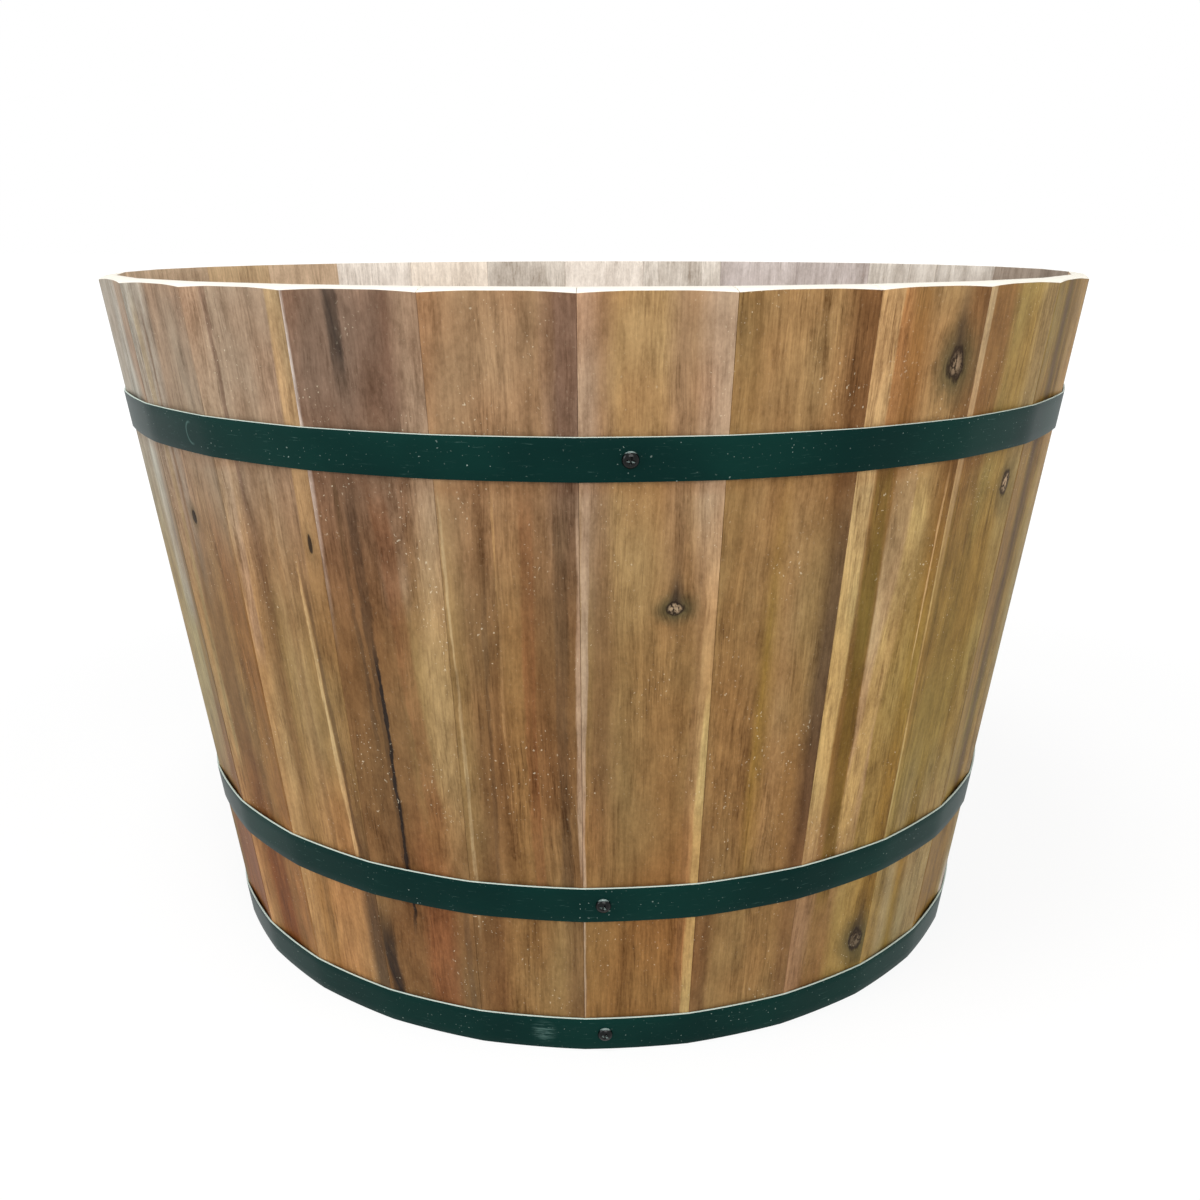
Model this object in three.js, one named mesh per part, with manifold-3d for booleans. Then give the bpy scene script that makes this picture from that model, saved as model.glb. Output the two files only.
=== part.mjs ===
// Wooden barrel planter: a tapered tub of flat hardwood staves, bound by three flat steel hoops,
// round a base of four boards that stand in a groove cut inside the staves.
//
// Millimetres, +Z up. The origin is the middle of the footprint, on the ground, and -Y is the front.
// Angles round the tub are counted from the front, anticlockwise seen from above.

import * as THREE from "three";
import { mergeVertices } from "three/addons/utils/BufferGeometryUtils.js";
import Module from "manifold-3d";

const wasm = await Module();
wasm.setup();

// ---------------------------------------------------------------- driving dimensions

// Tub. A ridge is the outer corner where two staves meet.
const ridgeHeight = 387.9; // ground to the top of a ridge, before the rim's corners are turned off
const rimRidgeRadius = 286;
const footRidgeRadius = 231.5;
const staveCount = 27;
const staveThickness = 8.5; // from the flat inner face to the middle of the outer face
const coveRadius = 700; // the slight hollow along each stave's outer face
const rimTurningSlope = 0.4; // fall of the cone that the rim's corners are turned down to
const rimTurningStart = 0.3; // from the middle of a stave's upper edge out to that cone
const frontJointAngle = -1.8; // degrees, the stave joint nearest to the front

// Base
const boardCount = 4;
const boardThickness = 12;
const boardLift = 30; // ground to the underside of the boards
const boardBevelHeight = 4; // of the sloping edge that the boards have above the groove
const boardWallGap = 1.3; // between the flat top of the boards and the wall
const grooveDepth = 3.5; // cut into the flat inner face of a stave
const drainHoleDiameter = 12;
const drainHoleOffset = 70; // from the middle, along the boards
const battenWidth = 40;
const battenThickness = 12;
const battenOffset = 140; // from the middle to the middle of a batten
const battenCornerCut = 8;

// Hoops
const hoopWidth = 20;
const hoopThickness = 1;
const hoopFlattening = 0.4; // of the strip between two ridges: 0 leaves it round, 1 draws it flat
const topHoopDrop = 69.9; // top of a ridge to the middle of the top hoop
const middleHoopHeight = 91; // ground to the middle of the middle hoop
const baseHoopLift = 0.5; // ground to the lower edge of the base hoop
const rivetSpacing = 28; // between the two rivets of a hoop's lap

// Screws, three to a hoop; each sits a little to the left of the middle of its stave
const hoopScrewCount = 3;
const topScrewOffset = 10;
const middleScrewOffset = 18.5;
const baseScrewOffset = 16.5;
const screwHeadDiameter = 7.6;
const screwHeadHeight = 2.6;
const screwShankDiameter = 4;
const screwPointLength = 4;
const hoopScrewLength = 10;
const battenScrewLength = 20;

// Rivets
const rivetHeadDiameter = 8;
const rivetHeadHeight = 2;
const rivetShankDiameter = 4;
const rivetTailDiameter = 6;
const rivetTailHeight = 0.6;

// Clearances
const jointGap = 0.3; // between two staves, or two boards
const seatGap = 0.3; // between two faces that bear on each other
const holeClearance = 0.3; // round a shank, on the radius
const grooveClearance = 0.5; // between the rim of the base and the groove's floor
const battenEndClearance = 3; // between a batten's corner and the wall
const cutOversize = 1.2; // how far past a piece the shapes that cut it reach

// Smoothness
const coveFacets = 4;
const rimFacetsPerStave = 8;
const facetsPerStave = 4; // round a hoop or the base
const roundFacets = 12; // round a screw, a rivet or a hole
const domeSteps = 3;

// ---------------------------------------------------------------- sizes that follow

const stavePitch = (2 * Math.PI) / staveCount;
const halfPitch = stavePitch / 2;
const frontJoint = THREE.MathUtils.degToRad(frontJointAngle);
const ridgeLean = Math.atan2(rimRidgeRadius - footRidgeRadius, ridgeHeight);

// How far the cove's floor lies behind the straight line between two points at this half width.
function coveSag(halfWidth) {
  return coveRadius - Math.sqrt(coveRadius ** 2 - halfWidth ** 2);
}

// Distance from the axis to the floor of the cove, where the ridges are at this radius.
function coveFloorDistance(ridgeRadius) {
  return ridgeRadius * Math.cos(halfPitch) - coveSag(ridgeRadius * Math.sin(halfPitch));
}

const footCove = coveFloorDistance(footRidgeRadius);
const rimCove = coveFloorDistance(rimRidgeRadius);
const staveLean = Math.atan2(rimCove - footCove, ridgeHeight);
const rimEdgeHeight =
  ridgeHeight + coveSag(rimRidgeRadius * Math.sin(halfPitch)) * Math.tan(staveLean);

function ridgeRadiusAt(height) {
  return footRidgeRadius + height * Math.tan(ridgeLean);
}

function innerFaceDistanceAt(height) {
  return footCove + height * Math.tan(staveLean) - staveThickness / Math.cos(staveLean);
}

// Middle angle of a stave; stave 0 is the one just right of the front joint.
function staveAngle(index) {
  return frontJoint + (index + 0.5) * stavePitch;
}

const boardMiddle = boardLift + boardThickness / 2;
const grooveRadius = innerFaceDistanceAt(boardMiddle) + grooveDepth;
const baseRadius = grooveRadius - grooveClearance;
const boardFlatRadius = innerFaceDistanceAt(boardLift + boardThickness) - boardWallGap;
const boardBevelSlope = (baseRadius - boardFlatRadius) / boardBevelHeight;
const boardWidth = (2 * baseRadius) / boardCount;
const battenTop = boardLift - seatGap;
const battenBottom = battenTop - battenThickness;

const lapStave = Math.floor(staveCount / 2);
const rivetGrip = 2 * hoopThickness + 3 * seatGap; // between a rivet's head and its tail
const baseHoopHalf = hoopWidth * 0.5 * Math.cos(ridgeLean) + hoopThickness * Math.sin(ridgeLean);

const hoops = [
  { name: "top", height: ridgeHeight - topHoopDrop, screwOffset: topScrewOffset },
  { name: "middle", height: middleHoopHeight, screwOffset: middleScrewOffset },
  { name: "base", height: baseHoopLift + baseHoopHalf, screwOffset: baseScrewOffset },
];

// ---------------------------------------------------------------- solids

function toSolid(geometry) {
  const bare = geometry.clone();
  bare.deleteAttribute("normal");
  bare.deleteAttribute("uv");
  const merged = mergeVertices(bare);
  return new wasm.Manifold(
    new wasm.Mesh({
      numProp: 3,
      vertProperties: new Float32Array(merged.attributes.position.array),
      triVerts: new Uint32Array(merged.index.array),
    }),
  );
}

function toGeometry(solid) {
  const { vertProperties, triVerts } = solid.getMesh();
  return new THREE.BufferGeometry()
    .setAttribute("position", new THREE.BufferAttribute(vertProperties, 3))
    .setIndex(new THREE.BufferAttribute(triVerts, 1));
}

// A round bar along Z, its lower end at this height. It tapers where its upper radius differs.
function bar(radius, length, bottom, facets = roundFacets, upperRadius = radius) {
  return new THREE.CylinderGeometry(upperRadius, radius, length, facets)
    .rotateX(Math.PI / 2)
    .translate(0, 0, bottom + length / 2);
}

// ---------------------------------------------------------------- staves

// A plank as it leaves the moulding cutter, leaning as it stands in the tub, with the tub's axis on Z
// and the plank's middle on +X. Its upper end is already cut square to the plank.
function staveBlank() {
  const halfWidth = cutOversize * rimRidgeRadius * Math.sin(halfPitch);
  const footAllowance = cutOversize * staveThickness;
  const rimAlongPlank =
    (rimRidgeRadius * Math.cos(halfPitch) - footCove) * Math.sin(staveLean) +
    ridgeHeight * Math.cos(staveLean);

  const section = new THREE.Shape();
  section.moveTo(0, -halfWidth);
  for (let i = 0; i <= coveFacets; i++) {
    const across = halfWidth * ((2 * i) / coveFacets - 1);
    section.lineTo(staveThickness + coveSag(across), across);
  }
  section.lineTo(0, halfWidth);

  return new THREE.ExtrudeGeometry(section, {
    depth: footAllowance + rimAlongPlank,
    steps: 1,
    bevelEnabled: false,
  })
    .translate(-staveThickness, 0, -footAllowance)
    .rotateY(staveLean)
    .translate(footCove, 0, 0);
}

// The slice of space that one stave may fill: between the two radial joint planes, above the ground.
function staveWedge() {
  const tip = jointGap / 2 / Math.sin(halfPitch);
  const reach = cutOversize * rimRidgeRadius;
  const halfMouth = (reach - tip) * Math.tan(halfPitch);
  const slice = new THREE.Shape([
    new THREE.Vector2(tip, 0),
    new THREE.Vector2(reach, -halfMouth),
    new THREE.Vector2(reach, halfMouth),
  ]);
  return new THREE.ExtrudeGeometry(slice, {
    depth: cutOversize * ridgeHeight,
    steps: 1,
    bevelEnabled: false,
  });
}

// The cone that the whole rim is turned down to. It clears the middle of each stave and takes its
// outer corners off.
function rimCone() {
  const turnedRadius = rimCove + rimTurningStart;
  const inward = 3 * staveThickness;
  return bar(
    turnedRadius + rimEdgeHeight / rimTurningSlope,
    rimEdgeHeight + inward * rimTurningSlope,
    0,
    rimFacetsPerStave * staveCount,
    turnedRadius - inward,
  );
}

// The disc that the base boards need, with the clearance of the groove.
function grooveCutter() {
  return bar(
    grooveRadius,
    boardThickness + 2 * seatGap,
    boardLift - seatGap,
    facetsPerStave * staveCount,
  ).rotateZ(halfPitch);
}

// Distances from the axis to a hoop's inner and outer face, at this angle from the middle of a stave.
// The strip is drawn partly flat between two ridges.
function hoopInside(hoop, fromMiddle) {
  const round = ridgeRadiusAt(hoop.height) + seatGap / Math.cos(ridgeLean);
  const flat = (round * Math.cos(halfPitch)) / Math.cos(fromMiddle);
  return THREE.MathUtils.lerp(round, flat, hoopFlattening);
}

function hoopFace(hoop, fromMiddle) {
  return hoopInside(hoop, fromMiddle) + hoopThickness / Math.cos(ridgeLean);
}

// A screw's angle from the middle of its stave.
function hoopScrewAngle(hoop) {
  return -Math.asin(hoop.screwOffset / hoopInside(hoop, 0));
}

// Turns a piece modelled along +Z so that it points out of the hoop's face at this angle.
function pointOut(geometry, hoop, distance, angle) {
  return geometry
    .rotateY(Math.PI / 2 + ridgeLean)
    .translate(distance, 0, hoop.height)
    .rotateZ(angle);
}

// Where a screw's head bears on a hoop.
function screwSeat(hoop) {
  return hoopFace(hoop, hoopScrewAngle(hoop)) + seatGap;
}

function hoopScrewHole(hoop, angle) {
  const radius = screwShankDiameter / 2 + holeClearance;
  const depth = hoopScrewLength + holeClearance;
  const hole = bar(radius, depth + hoopThickness, -depth);
  return toSolid(pointOut(hole, hoop, screwSeat(hoop), angle));
}

const plainStave = toSolid(staveBlank())
  .intersect(toSolid(staveWedge()))
  .intersect(toSolid(rimCone()))
  .subtract(toSolid(grooveCutter()));

const drilledStave = hoops.reduce(
  (stave, hoop) => stave.subtract(hoopScrewHole(hoop, hoopScrewAngle(hoop))),
  plainStave,
);

const screwedStaves = Array.from({ length: hoopScrewCount }, (_, i) =>
  Math.round((i * staveCount) / hoopScrewCount),
);

// ---------------------------------------------------------------- hoops

// The middle line of a strip's inner face. It starts under the lap, goes once round, lifts by its own
// thickness and ends on top of its start, over the whole width of one stave.
class HoopPath extends THREE.Curve {
  constructor(hoop) {
    super();
    this.hoop = hoop;
  }

  getPoint(t, target = new THREE.Vector3()) {
    const start = staveAngle(lapStave) - halfPitch;
    const turned = t * (2 * Math.PI + stavePitch);
    const fromMiddle = THREE.MathUtils.euclideanModulo(turned, stavePitch) - halfPitch;
    const lift = THREE.MathUtils.smoothstep(turned, 2 * Math.PI - halfPitch, 2 * Math.PI);
    const climb = (lift * (hoopThickness + seatGap)) / Math.cos(ridgeLean);
    const radius = hoopInside(this.hoop, fromMiddle) + climb;
    const angle = start + turned;
    return target.set(radius * Math.sin(angle), -radius * Math.cos(angle), this.hoop.height);
  }

  // Equal steps of angle, so that a corner of the strip falls on every ridge.
  getUtoTmapping(u) {
    return u;
  }
}

// The strip's section, given along the extrusion's own axes: down, and towards the tub's axis.
function hoopSection() {
  const corner = (up, out) =>
    new THREE.Vector2(
      -(up * Math.cos(ridgeLean) - out * Math.sin(ridgeLean)),
      -(up * Math.sin(ridgeLean) + out * Math.cos(ridgeLean)),
    );
  return new THREE.Shape([
    corner(-hoopWidth / 2, 0),
    corner(hoopWidth / 2, 0),
    corner(hoopWidth / 2, hoopThickness),
    corner(-hoopWidth / 2, hoopThickness),
  ]);
}

// The two rivets of a hoop's lap stand at this angle on either side of the middle of its stave.
function rivetTurn(hoop) {
  return Math.asin(rivetSpacing / 2 / hoopInside(hoop, 0));
}

function rivetAngles(hoop) {
  return [-rivetTurn(hoop), rivetTurn(hoop)].map((turn) => staveAngle(lapStave) + turn);
}

// Where a rivet's head bears on the upper layer of the lap.
function rivetSeat(hoop) {
  const climb = (hoopThickness + seatGap) / Math.cos(ridgeLean);
  return hoopFace(hoop, rivetTurn(hoop)) + climb + seatGap;
}

// Geometry is laid out with +X at its middle, and a tub angle is counted from -Y.
function fromFront(angle) {
  return angle - Math.PI / 2;
}

function hoopStrip(hoop) {
  const strip = toSolid(
    new THREE.ExtrudeGeometry(hoopSection(), {
      steps: (staveCount + 1) * facetsPerStave,
      extrudePath: new HoopPath(hoop),
      bevelEnabled: false,
    }),
  );
  const screwHoles = screwedStaves.map((index) =>
    hoopScrewHole(hoop, fromFront(staveAngle(index)) + hoopScrewAngle(hoop)),
  );
  const rivetHoles = rivetAngles(hoop).map((angle) => {
    const radius = rivetShankDiameter / 2 + holeClearance;
    const hole = bar(radius, 2 * (rivetGrip + hoopThickness), -rivetGrip - hoopThickness);
    return toSolid(pointOut(hole, hoop, rivetSeat(hoop), fromFront(angle)));
  });
  return [...screwHoles, ...rivetHoles].reduce((solid, hole) => solid.subtract(hole), strip);
}

// ---------------------------------------------------------------- screws and rivets

// A shallow dome on a straight edge, from the axis out, as lathe points.
function domeProfile(radius, height, edge) {
  const points = [];
  for (let i = 0; i <= domeSteps; i++) {
    const turn = (i / domeSteps) * (Math.PI / 2);
    points.push(new THREE.Vector2(radius * Math.sin(turn), edge + (height - edge) * Math.cos(turn)));
  }
  return points;
}

// Head above z = 0, shank and point below it.
function screw(length) {
  const headRadius = screwHeadDiameter / 2;
  const shankRadius = screwShankDiameter / 2;
  const profile = [
    ...domeProfile(headRadius, screwHeadHeight, screwHeadHeight / 3),
    new THREE.Vector2(headRadius, 0),
    new THREE.Vector2(shankRadius, 0),
    new THREE.Vector2(shankRadius, screwPointLength - length),
    new THREE.Vector2(0, -length),
  ];
  return new THREE.LatheGeometry(profile.reverse(), roundFacets).rotateX(Math.PI / 2);
}

// Head above z = 0; below it the shank runs through both layers of the lap to the upset tail.
function rivet() {
  const headRadius = rivetHeadDiameter / 2;
  const shankRadius = rivetShankDiameter / 2;
  const tailRadius = rivetTailDiameter / 2;
  const profile = [
    ...domeProfile(headRadius, rivetHeadHeight, 0),
    new THREE.Vector2(shankRadius, 0),
    new THREE.Vector2(shankRadius, -rivetGrip),
    new THREE.Vector2(tailRadius, -rivetGrip),
    new THREE.Vector2(tailRadius, -rivetGrip - rivetTailHeight / 2),
    new THREE.Vector2(0, -rivetGrip - rivetTailHeight),
  ];
  return new THREE.LatheGeometry(profile.reverse(), roundFacets).rotateX(Math.PI / 2);
}

// ---------------------------------------------------------------- base

const boardAxes = Array.from(
  { length: boardCount },
  (_, i) => (i - (boardCount - 1) / 2) * boardWidth,
);

// A batten stops where its outer corner would meet the wall.
const battenHalfLength =
  Math.sqrt(
    innerFaceDistanceAt(battenBottom) ** 2 - (battenOffset + battenWidth / 2 - battenCornerCut) ** 2,
  ) - battenEndClearance;

// Each batten has one screw into each board, in the middle of what it covers of that board.
const battenScrewPlaces = [-battenOffset, battenOffset].flatMap((x) =>
  boardAxes.map((axis) => {
    const near = Math.max(axis - boardWidth / 2, -battenHalfLength);
    const far = Math.min(axis + boardWidth / 2, battenHalfLength);
    return new THREE.Vector2(x, (near + far) / 2);
  }),
);

function battenScrewHole(place) {
  const radius = screwShankDiameter / 2 + holeClearance;
  const from = battenBottom - seatGap;
  return toSolid(
    bar(radius, battenScrewLength + holeClearance, from).translate(place.x, place.y, 0),
  );
}

const battenScrewHoles = battenScrewPlaces.map(battenScrewHole);

// The base as one disc, whose upper edge slopes away so that its flat top stays clear of the wall.
function baseDisc() {
  const facets = facetsPerStave * staveCount;
  const edge = bar(baseRadius, 2 * boardThickness, boardMiddle - boardThickness, facets);
  const coneFoot = boardFlatRadius + boardBevelSlope * boardThickness;
  const cone = bar(coneFoot, boardThickness, boardLift, facets, boardFlatRadius);
  return toSolid(edge.rotateZ(frontJoint)).intersect(toSolid(cone.rotateZ(frontJoint)));
}

// Four boards sawn round as one disc; the two middle ones are bored for drainage.
function baseBoard(axis) {
  const length = 2 * cutOversize * baseRadius;
  const strip = new THREE.BoxGeometry(length, boardWidth - jointGap, 2 * boardThickness);
  strip.translate(0, axis, boardMiddle);
  let board = baseDisc().intersect(toSolid(strip));
  battenScrewHoles.forEach((hole) => {
    board = board.subtract(hole);
  });
  if (Math.abs(axis) < boardWidth) {
    [-drainHoleOffset, drainHoleOffset].forEach((x) => {
      const hole = bar(drainHoleDiameter / 2, 2 * boardThickness, boardMiddle - boardThickness);
      board = board.subtract(toSolid(hole.translate(x, axis, 0)));
    });
  }
  return board;
}

function batten(x) {
  const halfWidth = battenWidth / 2;
  const cut = battenCornerCut;
  const outline = new THREE.Shape([
    new THREE.Vector2(-halfWidth + cut, -battenHalfLength),
    new THREE.Vector2(halfWidth - cut, -battenHalfLength),
    new THREE.Vector2(halfWidth, -battenHalfLength + cut),
    new THREE.Vector2(halfWidth, battenHalfLength - cut),
    new THREE.Vector2(halfWidth - cut, battenHalfLength),
    new THREE.Vector2(-halfWidth + cut, battenHalfLength),
    new THREE.Vector2(-halfWidth, battenHalfLength - cut),
    new THREE.Vector2(-halfWidth, -battenHalfLength + cut),
  ]);
  const plank = new THREE.ExtrudeGeometry(outline, { depth: battenThickness, bevelEnabled: false });
  return battenScrewHoles.reduce(
    (solid, hole) => solid.subtract(hole),
    toSolid(plank.translate(x, 0, battenBottom)),
  );
}

// ---------------------------------------------------------------- assembly

const planter = new THREE.Group();

const staveTones = ["#a9805a", "#8a6145", "#b08a5e", "#9c6f4c", "#a57a4e", "#94704f", "#b3875c"];

function finish(color, roughness, metalness) {
  return new THREE.MeshStandardMaterial({ color, roughness, metalness, flatShading: true });
}

function varnishedWood(tone) {
  return finish(tone, 0.5, 0);
}

function greenPaint() {
  return finish("#1c3b36", 0.4, 0.2);
}

function blackSteel() {
  return finish("#1a1d1c", 0.35, 0.7);
}

function add(name, geometry, material, parent = planter) {
  const mesh = new THREE.Mesh(geometry, material);
  mesh.name = name;
  parent.add(mesh);
  return mesh;
}

function numbered(name, index) {
  return `${name}_${String(index + 1).padStart(2, "0")}`;
}

// A holder turned so that its +X points out of the tub at this angle.
function spoke(angle) {
  const holder = new THREE.Group();
  holder.rotation.z = fromFront(angle);
  planter.add(holder);
  return holder;
}

// A screw or rivet on a spoke, its head out of the hoop's face.
function addFastener(name, geometry, material, hoop, distance, angle) {
  const piece = add(name, geometry, material, spoke(angle));
  piece.position.set(distance, 0, hoop.height);
  piece.rotation.y = Math.PI / 2 + ridgeLean;
}

const plainStaveGeometry = toGeometry(plainStave);
const drilledStaveGeometry = toGeometry(drilledStave);
for (let i = 0; i < staveCount; i++) {
  const geometry = screwedStaves.includes(i) ? drilledStaveGeometry : plainStaveGeometry;
  const tone = staveTones[i % staveTones.length];
  add(numbered("stave", i), geometry, varnishedWood(tone), spoke(staveAngle(i)));
}

const hoopScrew = screw(hoopScrewLength);
const lapRivet = rivet();
hoops.forEach((hoop) => {
  add(`${hoop.name}_hoop`, toGeometry(hoopStrip(hoop)), greenPaint());
  screwedStaves.forEach((index, i) => {
    const name = numbered(`${hoop.name}_hoop_screw`, i);
    const angle = staveAngle(index) + hoopScrewAngle(hoop);
    addFastener(name, hoopScrew, blackSteel(), hoop, screwSeat(hoop), angle);
  });
  rivetAngles(hoop).forEach((angle, i) => {
    const name = numbered(`${hoop.name}_hoop_rivet`, i);
    addFastener(name, lapRivet, greenPaint(), hoop, rivetSeat(hoop), angle);
  });
});

boardAxes.forEach((axis, i) => {
  add(numbered("base_board", i), toGeometry(baseBoard(axis)), varnishedWood("#9a7450"));
});

[-battenOffset, battenOffset].forEach((x, i) => {
  add(numbered("base_batten", i), toGeometry(batten(x)), varnishedWood("#8d6846"));
});

const battenScrew = screw(battenScrewLength);
battenScrewPlaces.forEach((place, i) => {
  const piece = add(numbered("batten_screw", i), battenScrew, blackSteel());
  piece.position.set(place.x, place.y, battenBottom - seatGap);
  piece.rotation.x = Math.PI;
});

export default planter;
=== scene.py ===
"""A wooden barrel planter: the finish of each stave, hoop, fastener and base board."""

import math
import random
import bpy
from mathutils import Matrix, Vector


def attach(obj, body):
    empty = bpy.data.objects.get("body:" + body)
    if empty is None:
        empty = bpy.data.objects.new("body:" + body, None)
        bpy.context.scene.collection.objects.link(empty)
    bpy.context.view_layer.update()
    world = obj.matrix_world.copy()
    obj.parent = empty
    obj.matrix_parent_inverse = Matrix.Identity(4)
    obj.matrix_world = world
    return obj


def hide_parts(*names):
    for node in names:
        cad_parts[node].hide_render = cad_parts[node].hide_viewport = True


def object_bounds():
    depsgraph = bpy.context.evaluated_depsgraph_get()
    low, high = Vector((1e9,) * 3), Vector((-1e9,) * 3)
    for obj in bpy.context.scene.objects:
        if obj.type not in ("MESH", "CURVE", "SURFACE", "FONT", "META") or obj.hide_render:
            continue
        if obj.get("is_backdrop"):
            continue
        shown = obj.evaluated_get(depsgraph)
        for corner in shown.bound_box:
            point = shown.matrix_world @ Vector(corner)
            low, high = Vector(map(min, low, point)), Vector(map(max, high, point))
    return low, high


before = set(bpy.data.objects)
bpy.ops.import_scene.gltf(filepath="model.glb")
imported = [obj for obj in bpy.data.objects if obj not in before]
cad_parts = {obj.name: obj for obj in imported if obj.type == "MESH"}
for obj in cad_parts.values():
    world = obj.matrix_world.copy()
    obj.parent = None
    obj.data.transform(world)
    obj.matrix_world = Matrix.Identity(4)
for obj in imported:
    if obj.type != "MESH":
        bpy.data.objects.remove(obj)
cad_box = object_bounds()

from types import SimpleNamespace

import bmesh
import bpy
from mathutils import Matrix, Vector, noise

# ---------------------------------------------------------------- sizes
# Metres. The front is -Y, and angles round the tub run anticlockwise from it, seen from above.

MM = 0.001

RIDGE_HEIGHT = 387.9 * MM
RIM_RIDGE_RADIUS = 286 * MM
FOOT_RIDGE_RADIUS = 231.5 * MM
STAVE_COUNT = 27
STAVE_THICKNESS = 8.5 * MM
COVE_RADIUS = 700 * MM
RIM_TURNING_SLOPE = 0.4
RIM_TURNING_START = 0.3 * MM
FRONT_JOINT = math.radians(-1.8)

BOARD_COUNT = 4
BOARD_THICKNESS = 12 * MM
BOARD_LIFT = 30 * MM
BOARD_BEVEL_HEIGHT = 4 * MM
BOARD_WALL_GAP = 1.3 * MM
GROOVE_DEPTH = 3.5 * MM
DRAIN_HOLE_DIAMETER = 12 * MM
DRAIN_HOLE_OFFSET = 70 * MM
BATTEN_WIDTH = 40 * MM
BATTEN_THICKNESS = 12 * MM
BATTEN_OFFSET = 140 * MM
BATTEN_CORNER_CUT = 8 * MM

HOOP_WIDTH = 20 * MM
HOOP_THICKNESS = 1 * MM
HOOP_FLATTENING = 0.4  # of the strip between two ridges
TOP_HOOP_DROP = 69.9 * MM
MIDDLE_HOOP_HEIGHT = 91 * MM
BASE_HOOP_LIFT = 0.5 * MM
RIVET_SPACING = 28 * MM

HOOP_SCREW_COUNT = 3
SCREW_HEAD_DIAMETER = 7.6 * MM
SCREW_HEAD_HEIGHT = 2.6 * MM
SCREW_SHANK_DIAMETER = 4 * MM
SCREW_POINT_LENGTH = 4 * MM
HOOP_SCREW_LENGTH = 10 * MM
BATTEN_SCREW_LENGTH = 20 * MM
RIVET_HEAD_DIAMETER = 8 * MM
RIVET_HEAD_HEIGHT = 2 * MM

SEAT_GAP = 0.3 * MM
GROOVE_CLEARANCE = 0.5 * MM
BATTEN_END_CLEARANCE = 3 * MM
BOARD_JOINT_GAP = 0.3 * MM

# What only the finished surfaces have
STAVE_ACROSS = 20  # faces across a stave
STAVE_ROW = 7 * MM  # height of a row of faces
JOINT_HALF_GAP = 0.03 * MM  # the hoops draw the staves together
JOINT_RAGGED = 0.07 * MM
FACE_RIPPLE = 0.05 * MM  # left by the moulding cutter
STAVE_EDGE = 0.3 * MM  # how far a stave's edges are eased
TURNED_LEAST = 0.9 * MM  # from the outer edge of a stave's end in to the next row of points
HOOP_REST = 0.05 * MM  # between a hoop and the ridges, or a head and its hoop
HOOP_EDGE = 0.22 * MM
HOOP_CORNER = 4 * MM
HOOP_STEPS_PER_STAVE = 8
BOARD_EDGE = 0.8 * MM
ROUND_STEPS = 32
SMOOTH_BELOW = 28  # degrees between two faces
JOINT_WAVES = 40  # per metre of a joint
RIPPLE_WAVES = 12
HEAD_STEPS = 6
HEAD_EDGE = 0.08 * MM
RECESS_REACH = 2.1 * MM
RECESS_HALF_WIDTH = 0.55 * MM
RECESS_DEPTH = 1.9 * MM
RECESS_FLOOR = 0.45  # of the width at the top
RIVET_RIM = 0.15 * MM
CUTTER_EXCESS = 0.1 * MM  # above the face that it cuts

PITCH = 2 * math.pi / STAVE_COUNT
HALF_PITCH = PITCH / 2
RIDGE_LEAN = math.atan2(RIM_RIDGE_RADIUS - FOOT_RIDGE_RADIUS, RIDGE_HEIGHT)


def cove_sag(half_width):
    """How far the cove's floor lies behind two points at this half width."""
    return COVE_RADIUS - math.sqrt(COVE_RADIUS**2 - half_width**2)


def cove_floor_distance(ridge_radius):
    half_width = ridge_radius * math.sin(HALF_PITCH)
    return ridge_radius * math.cos(HALF_PITCH) - cove_sag(half_width)


FOOT_COVE = cove_floor_distance(FOOT_RIDGE_RADIUS)
RIM_COVE = cove_floor_distance(RIM_RIDGE_RADIUS)
STAVE_LEAN = math.atan2(RIM_COVE - FOOT_COVE, RIDGE_HEIGHT)


def ridge_radius_at(height):
    return FOOT_RIDGE_RADIUS + height * math.tan(RIDGE_LEAN)


def plank_distance(height, behind_cove):
    """Distance from the axis to a plane in the stave, this far behind the floor of its cove."""
    return FOOT_COVE + height * math.tan(STAVE_LEAN) - behind_cove / math.cos(STAVE_LEAN)


def stave_angle(index):
    return FRONT_JOINT + (index + 0.5) * PITCH


def rim_height(out_of_cove):
    """Height of the upper end, which is cut square to the plank."""
    ridge = cove_sag(RIM_RIDGE_RADIUS * math.sin(HALF_PITCH))
    return RIDGE_HEIGHT + (ridge - out_of_cove) * math.tan(STAVE_LEAN)


RIM_EDGE_HEIGHT = rim_height(0)
TURNED_RADIUS = RIM_COVE + RIM_TURNING_START
BOARD_TOP = BOARD_LIFT + BOARD_THICKNESS
BASE_RADIUS = (
    plank_distance(BOARD_LIFT + BOARD_THICKNESS / 2, STAVE_THICKNESS)
    + GROOVE_DEPTH
    - GROOVE_CLEARANCE
)
BOARD_FLAT_RADIUS = plank_distance(BOARD_TOP, STAVE_THICKNESS) - BOARD_WALL_GAP
BOARD_WIDTH = 2 * BASE_RADIUS / BOARD_COUNT
BATTEN_TOP = BOARD_LIFT - SEAT_GAP
BATTEN_BOTTOM = BATTEN_TOP - BATTEN_THICKNESS
BATTEN_HALF_LENGTH = (
    math.sqrt(
        plank_distance(BATTEN_BOTTOM, STAVE_THICKNESS) ** 2
        - (BATTEN_OFFSET + BATTEN_WIDTH / 2 - BATTEN_CORNER_CUT) ** 2
    )
    - BATTEN_END_CLEARANCE
)
LAP_STAVE = STAVE_COUNT // 2
BASE_HOOP_HALF = HOOP_WIDTH / 2 * math.cos(RIDGE_LEAN) + HOOP_THICKNESS * math.sin(RIDGE_LEAN)


def scuff(angle, height, wide, tall, strength, curved=False):
    """A worn spot in a hoop's paint: its degrees round the tub, its height and its half sizes."""
    angle = math.radians(angle)
    return SimpleNamespace(**locals())


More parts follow.
